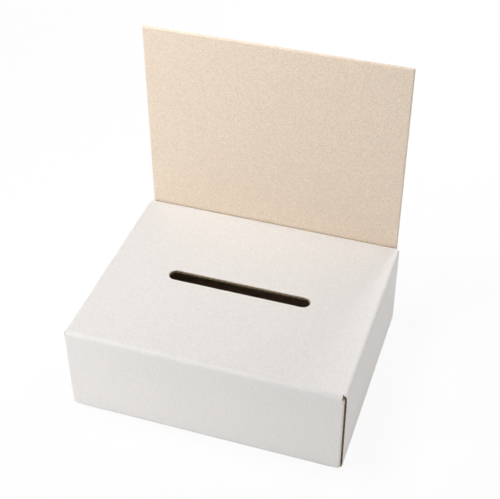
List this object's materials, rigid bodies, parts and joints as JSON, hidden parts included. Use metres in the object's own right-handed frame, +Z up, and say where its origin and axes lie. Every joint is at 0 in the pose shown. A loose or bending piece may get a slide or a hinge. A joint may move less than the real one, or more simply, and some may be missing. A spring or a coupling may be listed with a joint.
{
  "type": "ballot box",
  "caption": "Countertop ballot box of corrugated board: slotted top, rolled side walls, a bottom door with tuck-in ears, and a tall sign panel rising behind the box.",
  "frame": {"origin": "on the ground, under the middle of the whole object's bounding box", "axes": "+Z up; the front face looks along -Y and the sign panel stands at the +Y side; +X is to the right seen from the front"},
  "size_m": [0.305, 0.2472, 0.338],
  "materials": {
    "white_board": "matte",
    "white_top": "matte",
    "kraft_board": "matte"
  },
  "bodies": {
    "box": {"top_panel": "white_top", "front_wall": "white_board", "rear_wall": "white_board", "left_side_outer": "white_board", "right_side_outer": "white_board", "left_side_rim": "white_top", "right_side_rim": "white_top", "left_side_inner": "white_board", "right_side_inner": "white_board", "front_left_flap": "white_board", "front_right_flap": "white_board", "rear_left_flap": "white_board", "rear_right_flap": "white_board"},
    "door": {"bottom_panel": "kraft_board"},
    "header": {"header_panel": "kraft_board"},
    "left_ear": {"bottom_left_ear": "white_board"},
    "right_ear": {"bottom_right_ear": "white_board"}
  },
  "joints": [
    {"name": "door_fold", "type": "hinge", "parent": "box", "child": "door", "pos_m": [0, -0.12318, 0.00047], "axis": [-1, 0, 0], "range_deg": [0, 120]},
    {"name": "header_fold", "type": "hinge", "parent": "door", "child": "header", "pos_m": [0, 0.12318, 0.00047], "axis": [-1, 0, 0], "range_deg": [0, 90]},
    {"name": "left_ear_fold", "type": "hinge", "parent": "door", "child": "left_ear", "pos_m": [-0.1396, 0, 0.0042], "axis": [0, 1, 0], "range_deg": [0, 85]},
    {"name": "right_ear_fold", "type": "hinge", "parent": "door", "child": "right_ear", "pos_m": [0.1396, 0, 0.0042], "axis": [0, -1, 0], "range_deg": [0, 85]}
  ]
}
